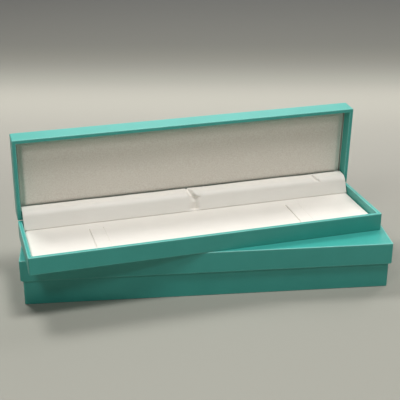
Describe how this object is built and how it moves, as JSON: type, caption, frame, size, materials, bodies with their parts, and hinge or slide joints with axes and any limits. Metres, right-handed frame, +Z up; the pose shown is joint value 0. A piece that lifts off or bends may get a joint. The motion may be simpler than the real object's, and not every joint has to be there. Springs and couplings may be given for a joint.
{
  "type": "bracelet box",
  "caption": "Long hinged paper-covered bracelet case with padded tray and curved hinge flap, standing open on its own telescoping outer carton.",
  "frame": {"origin": "centre of the carton's underside, on the surface it stands on", "axes": "+Z up, +X along the case, +Y towards the case's hinged back; the carton is turned about 10 degrees under the case"},
  "size_m": [0.2382, 0.1006, 0.097],
  "materials": {
    "grey_board": "matte",
    "kraft_tape": "matte",
    "carton_paper": "matte",
    "case_plastic": "matte",
    "case_paper": "satin",
    "lining_card": "matte",
    "pad_foam": "matte",
    "pad_leatherette": "matte",
    "flap_leatherette": "satin",
    "lid_suede": "matte",
    "spring_steel": "satin",
    "plated_steel": "satin"
  },
  "bodies": {
    "carton_base": {"carton_base_board": "grey_board", "carton_base_corner_stays": "kraft_tape", "carton_base_wrap": "carton_paper"},
    "carton_lid": {"carton_lid_board": "grey_board", "carton_lid_corner_stays": "kraft_tape", "carton_lid_wrap": "carton_paper"},
    "case_base": {"case_base_shell": "case_plastic", "case_base_wrap": "case_paper", "base_pad_riser": "lining_card", "base_pad_foam": "pad_foam", "base_pad_cover": "pad_leatherette", "bracelet_strap_left": "pad_leatherette", "bracelet_strap_right": "pad_leatherette", "hinge_base_leaf_left": "plated_steel", "hinge_base_leaf_right": "plated_steel", "hinge_pin_left": "plated_steel", "hinge_pin_right": "plated_steel", "hinge_spring_left": "spring_steel", "hinge_spring_right": "spring_steel"},
    "case_lid": {"case_lid_shell": "case_plastic", "case_lid_wrap": "case_paper", "hinge_lid_leaf_left": "plated_steel", "hinge_lid_leaf_right": "plated_steel", "lid_pad_board": "lining_card", "lid_pad_foam": "pad_foam", "lid_pad_cover": "lid_suede"},
    "rear_flap": {"rear_flap_card": "lining_card", "rear_flap_cover": "flap_leatherette"}
  },
  "joints": [
    {"name": "carton_lid_lift", "type": "slide", "parent": "carton_base", "child": "carton_lid", "axis": [0, 0, 1], "range_m": [0, 0.02]},
    {"name": "case_lift", "type": "slide", "parent": "carton_lid", "child": "case_base", "axis": [0, 0, 1], "range_m": [0, 0.03]},
    {"name": "lid_hinge", "type": "hinge", "parent": "case_base", "child": "case_lid", "pos_m": [-0.0027, 0.02465, 0.0421], "axis": [1, 0, 0], "range_deg": [0, 86.8]},
    {"name": "flap_fold", "type": "hinge", "parent": "case_base", "child": "rear_flap", "pos_m": [-0.0027, 0.0178, 0.0381], "axis": [1, 0, 0], "range_deg": [0, 103.5]}
  ],
  "couplings": [
    {"joint": "flap_fold", "follows": "lid_hinge", "ratio": 1.1866}
  ]
}
